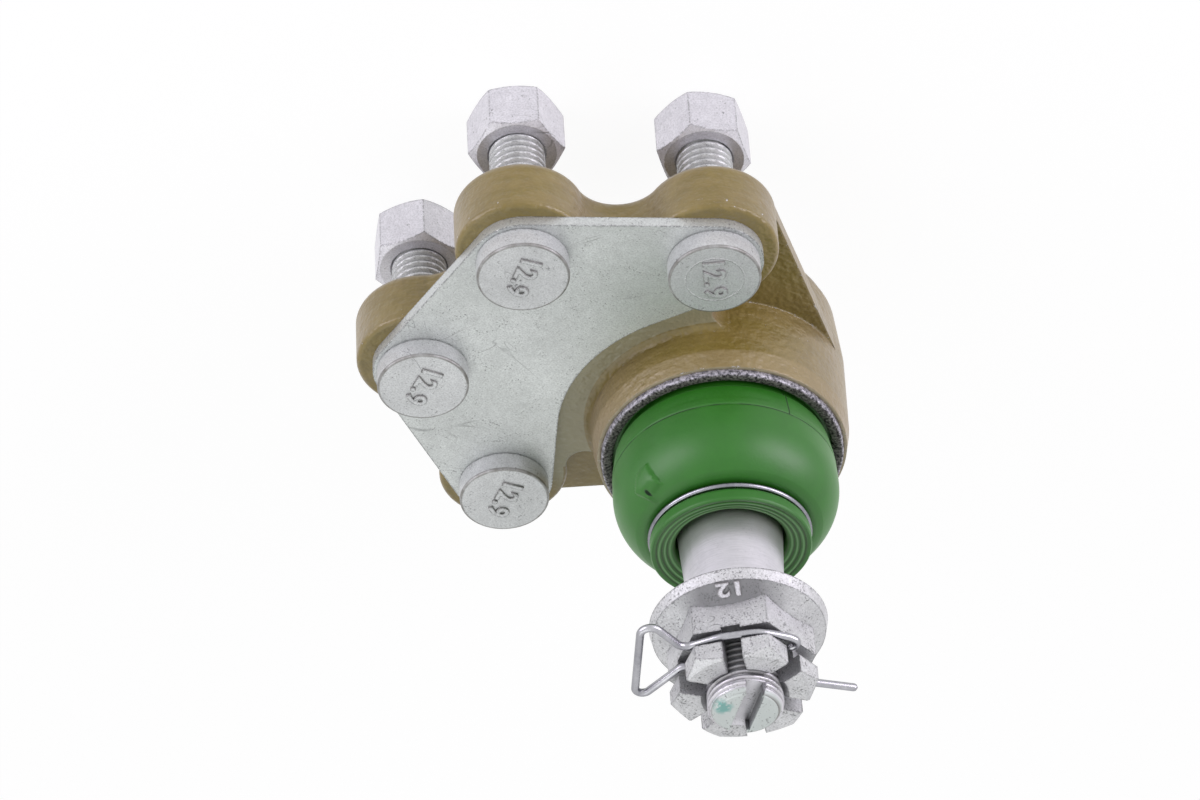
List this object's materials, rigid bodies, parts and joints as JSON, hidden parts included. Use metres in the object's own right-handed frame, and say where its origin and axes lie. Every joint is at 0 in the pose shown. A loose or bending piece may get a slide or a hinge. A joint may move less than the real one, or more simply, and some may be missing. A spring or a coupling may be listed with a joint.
{
  "type": "suspension ball joint",
  "caption": "Suspension ball joint: cup housing with a lobed bolt flange and bolts, reinforcing plate, tapered ball stud, castle nut with wire clip and a ribbed-lip rubber boot.",
  "frame": {"origin": "where the housing axis meets the plane of the flange faces that seat on the suspension arm", "axes": "+Z along the housing axis towards the threaded end of the stud, +X from that axis towards the bolts, Y across the four bolts"},
  "size_m": [0.1061, 0.1074, 0.124],
  "materials": {
    "khaki_housing": "satin olive brown coat, orange peel, small chips",
    "zinc_plate": "zinc plated, fine scratches",
    "zinc_bolt": "zinc plated",
    "zinc_nut": "zinc plated, bright",
    "stud_steel": "satin ground steel",
    "galvanised": "rough pitted zinc",
    "bright_wire": "bright drawn wire",
    "green_rubber": "satin green rubber",
    "seat_plastic": "moulded natural acetal",
    "spring_steel": "blued"
  },
  "bodies": {
    "housing_unit": {"housing": "khaki_housing", "reinforcing_plate": "zinc_plate", "bolt_far_1": "zinc_bolt", "bolt_near_1": "zinc_bolt", "bolt_far_2": "zinc_bolt", "bolt_near_2": "zinc_bolt", "boot_retaining_ring": "galvanised", "front_ball_seat": "seat_plastic", "rear_ball_seat": "seat_plastic", "disc_spring": "spring_steel", "closing_cover": "galvanised"},
    "boot": {"dust_boot": "green_rubber"},
    "boot_neck": {"neck_wire_ring": "bright_wire"},
    "stud": {"ball_stud": "stud_steel", "castle_nut": "galvanised", "locking_clip": "bright_wire"},
    "nut_far_1": {"nut_far_1": "zinc_nut"},
    "nut_near_1": {"nut_near_1": "zinc_nut"},
    "nut_far_2": {"nut_far_2": "zinc_nut"},
    "nut_near_2": {"nut_near_2": "zinc_nut"}
  },
  "joints": [
    {"name": "swivel_fore_aft", "type": "hinge", "parent": "housing_unit", "child": "boot", "pos_m": [0, 0, 0.006], "axis": [1, 0, 0], "range_deg": [-16, 16], "deforming": ["dust_boot"]},
    {"name": "swivel_sideways", "type": "hinge", "parent": "boot", "child": "boot_neck", "pos_m": [0, 0, 0.006], "axis": [0, 1, 0], "range_deg": [-16, 16]},
    {"name": "stud_spin", "type": "hinge", "parent": "boot_neck", "child": "stud", "pos_m": [0, 0, 0.006], "axis": [-0.0241, 0.025, 0.9994], "continuous": true},
    {"name": "nut_far_1_travel", "type": "slide", "parent": "housing_unit", "child": "nut_far_1", "axis": [0, 0, 1], "range_m": [0, 0.0159]},
    {"name": "nut_near_1_travel", "type": "slide", "parent": "housing_unit", "child": "nut_near_1", "axis": [0, 0, 1], "range_m": [0, 0.0146]},
    {"name": "nut_far_2_travel", "type": "slide", "parent": "housing_unit", "child": "nut_far_2", "axis": [0, 0, 1], "range_m": [0, 0.0144]},
    {"name": "nut_near_2_travel", "type": "slide", "parent": "housing_unit", "child": "nut_near_2", "axis": [0, 0, 1], "range_m": [0, 0.0154]}
  ]
}
